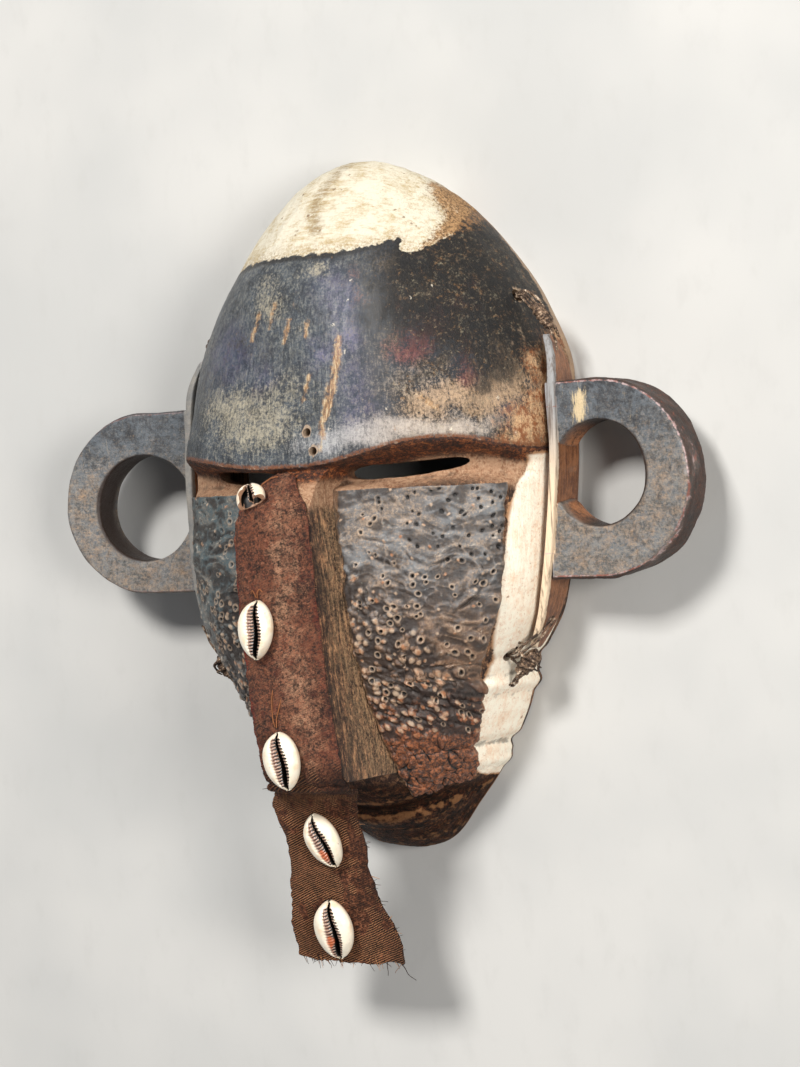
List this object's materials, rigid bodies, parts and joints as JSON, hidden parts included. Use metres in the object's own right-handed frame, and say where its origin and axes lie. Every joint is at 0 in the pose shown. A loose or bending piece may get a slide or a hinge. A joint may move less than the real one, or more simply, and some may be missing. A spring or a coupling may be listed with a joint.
{
  "type": "carved wooden mask",
  "caption": "Carved hollow wooden mask with ring ears tied to its sides, punched skin on the cheeks, and a cloth strip down the nose with cowrie shells.",
  "frame": {"origin": "middle of the finished mask's outline, in the plane of the flat back rim that it lies on", "axes": "+X to the viewer's right, +Y to the top of the head, +Z out of the face"},
  "size_m": [0.2872, 0.3225, 0.0971],
  "materials": {
    "face_wood": "dark polished patina with white kaolin on the crown and along the face's edge",
    "ear_wood": "blue-grey worn patina with charred edges",
    "cheek_skin": "thin dark punched skin, wrinkled and torn",
    "strip_cloth": "plain cloth stiff with red-brown pigment, frayed at its end",
    "shell": "glossy cream shell with worn stains",
    "tie_cord": "dark dirty wrapped cord"
  },
  "bodies": {
    "root": {"face_shell": "face_wood", "ear_right": "ear_wood", "ear_left": "ear_wood", "cheek_skin_right": "cheek_skin", "cheek_skin_left": "cheek_skin", "nose_cloth": "strip_cloth", "cowrie_1": "shell", "cowrie_2": "shell", "cowrie_3": "shell", "cowrie_4": "shell", "cowrie_5": "shell", "lashing_right_top": "tie_cord", "lashing_right_bottom": "tie_cord", "lashing_left_top": "tie_cord", "lashing_left_bottom": "tie_cord"}
  },
  "joints": []
}
